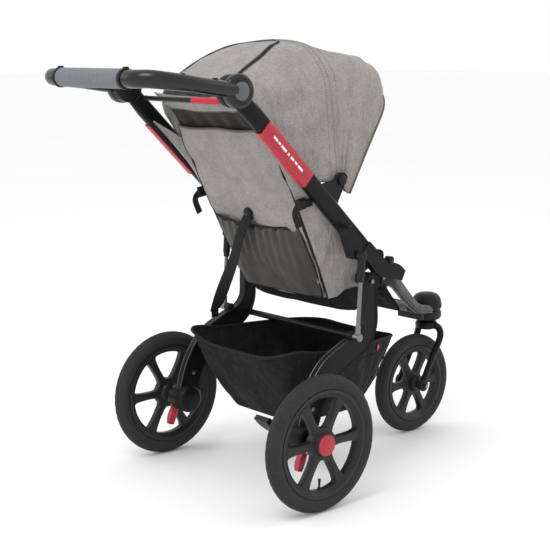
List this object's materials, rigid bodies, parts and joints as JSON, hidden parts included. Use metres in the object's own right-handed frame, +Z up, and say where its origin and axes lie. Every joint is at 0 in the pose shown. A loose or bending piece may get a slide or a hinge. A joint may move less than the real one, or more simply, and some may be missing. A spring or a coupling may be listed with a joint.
{
  "type": "jogging stroller",
  "caption": "Three-wheeled jogging stroller with folding frame, reclining seat, canopy, tilting handle, swivel front wheel and storage basket.",
  "frame": {"origin": "on the ground below the middle of the bounding box", "axes": "+Z up, -Y the way the stroller travels, +X the pusher's left; the frame is the same on both sides of X = 0"},
  "size_m": [0.673, 1.243, 1.1278],
  "materials": {
    "frame_black": "satin black powder coat",
    "moulded_black": "fine moulded grain",
    "wheel_plastic": "satin moulded dark grey",
    "tyre_rubber": "matte tread rubber",
    "foam_grey": "soft-touch foam, blue grey",
    "red_plastic": "semi-gloss red",
    "bare_metal": "brushed rod",
    "heather_fabric": "heather grey woven",
    "mesh_fabric": "dark stretch mesh",
    "black_fabric": "black woven polyester"
  },
  "bodies": {
    "front_frame": {"casting_left": "frame_black", "casting_right": "frame_black", "nose_block": "moulded_black", "nose_bridge": "moulded_black", "seat_cross_bar": "frame_black", "footrest_bar": "moulded_black", "seat_base": "heather_fabric", "calf_panel": "heather_fabric", "harness_buckle": "moulded_black", "crotch_strap": "black_fabric", "storage_basket": "black_fabric"},
    "upper_frame": {"side_tube_left": "frame_black", "side_tube_right": "frame_black", "canopy_bracket_left": "moulded_black", "canopy_bracket_right": "moulded_black", "side_panel_left": "red_plastic", "side_panel_right": "red_plastic", "rear_bow": "frame_black", "side_wing_left": "heather_fabric", "side_wing_right": "heather_fabric", "canopy_hood": "heather_fabric"},
    "handle": {"handlebar": "moulded_black", "handle_grip": "foam_grey", "grip_collar_left": "moulded_black", "grip_collar_right": "moulded_black"},
    "hub_button_left": {"hub_button_left": "foam_grey"},
    "hub_button_right": {"hub_button_right": "foam_grey"},
    "backrest": {"backrest": "heather_fabric", "mesh_pocket": "mesh_fabric", "cord_lock": "moulded_black"},
    "canopy_front": {"canopy_main": "heather_fabric"},
    "canopy_visor": {"canopy_visor": "heather_fabric"},
    "rear_legs": {"rear_leg_left": "frame_black", "rear_leg_right": "frame_black", "leg_cross_tube": "frame_black", "rear_axle_left": "bare_metal", "rear_axle_right": "bare_metal"},
    "release_lever_left": {"release_lever_left": "red_plastic"},
    "release_lever_right": {"release_lever_right": "red_plastic"},
    "brake_pedal": {"brake_pedal": "moulded_black"},
    "fold_struts": {"strut_sleeve_left": "bare_metal", "strut_sleeve_right": "bare_metal", "strut_rod_left": "bare_metal", "strut_rod_right": "bare_metal"},
    "rear_wheel_left": {"rear_tyre_left": "tyre_rubber", "rear_rim_left": "wheel_plastic", "hub_cap_left": "red_plastic"},
    "rear_wheel_right": {"rear_tyre_right": "tyre_rubber", "rear_rim_right": "wheel_plastic", "hub_cap_right": "red_plastic"},
    "fork": {"front_fork": "moulded_black", "front_axle": "bare_metal"},
    "front_wheel": {"front_tyre": "tyre_rubber", "front_rim": "wheel_plastic"},
    "swivel_lock": {"swivel_lock_knob": "moulded_black"},
    "buckle_button": {"buckle_button": "red_plastic"}
  },
  "joints": [
    {"name": "frame_fold", "type": "hinge", "parent": "front_frame", "child": "upper_frame", "pos_m": [0, -0.139, 0.573], "axis": [1, 0, 0], "range_deg": [0, 150], "deforming": ["canopy_hood", "canopy_main", "canopy_visor", "side_wing_left", "side_wing_right", "storage_basket"]},
    {"name": "rear_leg_fold", "type": "hinge", "parent": "front_frame", "child": "rear_legs", "pos_m": [0, -0.052, 0.53], "axis": [1, 0, 0], "range_deg": [-54, 0], "deforming": ["storage_basket"]},
    {"name": "strut_swing", "type": "hinge", "parent": "upper_frame", "child": "fold_struts", "pos_m": [0, 0, 0.603], "axis": [1, 0, 0], "range_deg": [-118.5, 0]},
    {"name": "handle_tilt", "type": "hinge", "parent": "upper_frame", "child": "handle", "pos_m": [0, 0.365, 1.011], "axis": [1, 0, 0], "range_deg": [-45, 35]},
    {"name": "hub_button_left_press", "type": "slide", "parent": "handle", "child": "hub_button_left", "axis": [-1, 0, 0], "range_m": [0, 0.003], "stiffness_N_per_m": 400},
    {"name": "hub_button_right_press", "type": "slide", "parent": "handle", "child": "hub_button_right", "axis": [1, 0, 0], "range_m": [0, 0.003], "stiffness_N_per_m": 400},
    {"name": "backrest_recline", "type": "hinge", "parent": "upper_frame", "child": "backrest", "pos_m": [0, 0.014, 0.472], "axis": [1, 0, 0], "range_deg": [-30, 0], "deforming": ["side_wing_left", "side_wing_right"]},
    {"name": "canopy_fold", "type": "hinge", "parent": "upper_frame", "child": "canopy_front", "pos_m": [0, 0.01, 0.785], "axis": [1, 0, 0], "range_deg": [-38, 0], "deforming": ["canopy_hood", "canopy_main", "canopy_visor"]},
    {"name": "visor_flip", "type": "hinge", "parent": "canopy_front", "child": "canopy_visor", "pos_m": [0, 0.01, 0.785], "axis": [1, 0, 0], "range_deg": [-20, 15], "deforming": ["canopy_main", "canopy_visor"]},
    {"name": "rear_wheel_left_spin", "type": "hinge", "parent": "rear_legs", "child": "rear_wheel_left", "pos_m": [0.3115, 0.18, 0.17], "axis": [1, 0, 0], "continuous": true},
    {"name": "rear_wheel_right_spin", "type": "hinge", "parent": "rear_legs", "child": "rear_wheel_right", "pos_m": [-0.3115, 0.18, 0.17], "axis": [1, 0, 0], "continuous": true},
    {"name": "fork_swivel", "type": "hinge", "parent": "front_frame", "child": "fork", "pos_m": [0, -0.535, 0.33], "axis": [0, 0, 1], "continuous": true},
    {"name": "front_wheel_spin", "type": "hinge", "parent": "fork", "child": "front_wheel", "pos_m": [0, -0.477, 0.1445], "axis": [1, 0, 0], "continuous": true},
    {"name": "swivel_lock_turn", "type": "hinge", "parent": "front_frame", "child": "swivel_lock", "pos_m": [0, -0.535, 0.38], "axis": [0, 0, 1], "range_deg": [0, 90]},
    {"name": "brake_pedal_press", "type": "hinge", "parent": "rear_legs", "child": "brake_pedal", "pos_m": [-0.176, 0.18, 0.17], "axis": [1, 0, 0], "range_deg": [-25, 0]},
    {"name": "release_lever_left_pull", "type": "hinge", "parent": "rear_legs", "child": "release_lever_left", "pos_m": [0.2615, 0.192, 0.133], "axis": [1, 0, 0], "range_deg": [0, 25], "stiffness_Nm_per_rad": 0.3},
    {"name": "release_lever_right_pull", "type": "hinge", "parent": "rear_legs", "child": "release_lever_right", "pos_m": [-0.2615, 0.192, 0.133], "axis": [1, 0, 0], "range_deg": [0, 25], "stiffness_Nm_per_rad": 0.3},
    {"name": "buckle_button_press", "type": "slide", "parent": "front_frame", "child": "buckle_button", "axis": [0, 1, 0], "range_m": [0, 0.002], "stiffness_N_per_m": 300}
  ],
  "couplings": [
    {"joint": "rear_leg_fold", "follows": "frame_fold", "ratio": -0.36},
    {"joint": "strut_swing", "follows": "frame_fold", "ratio": -0.78667}
  ]
}
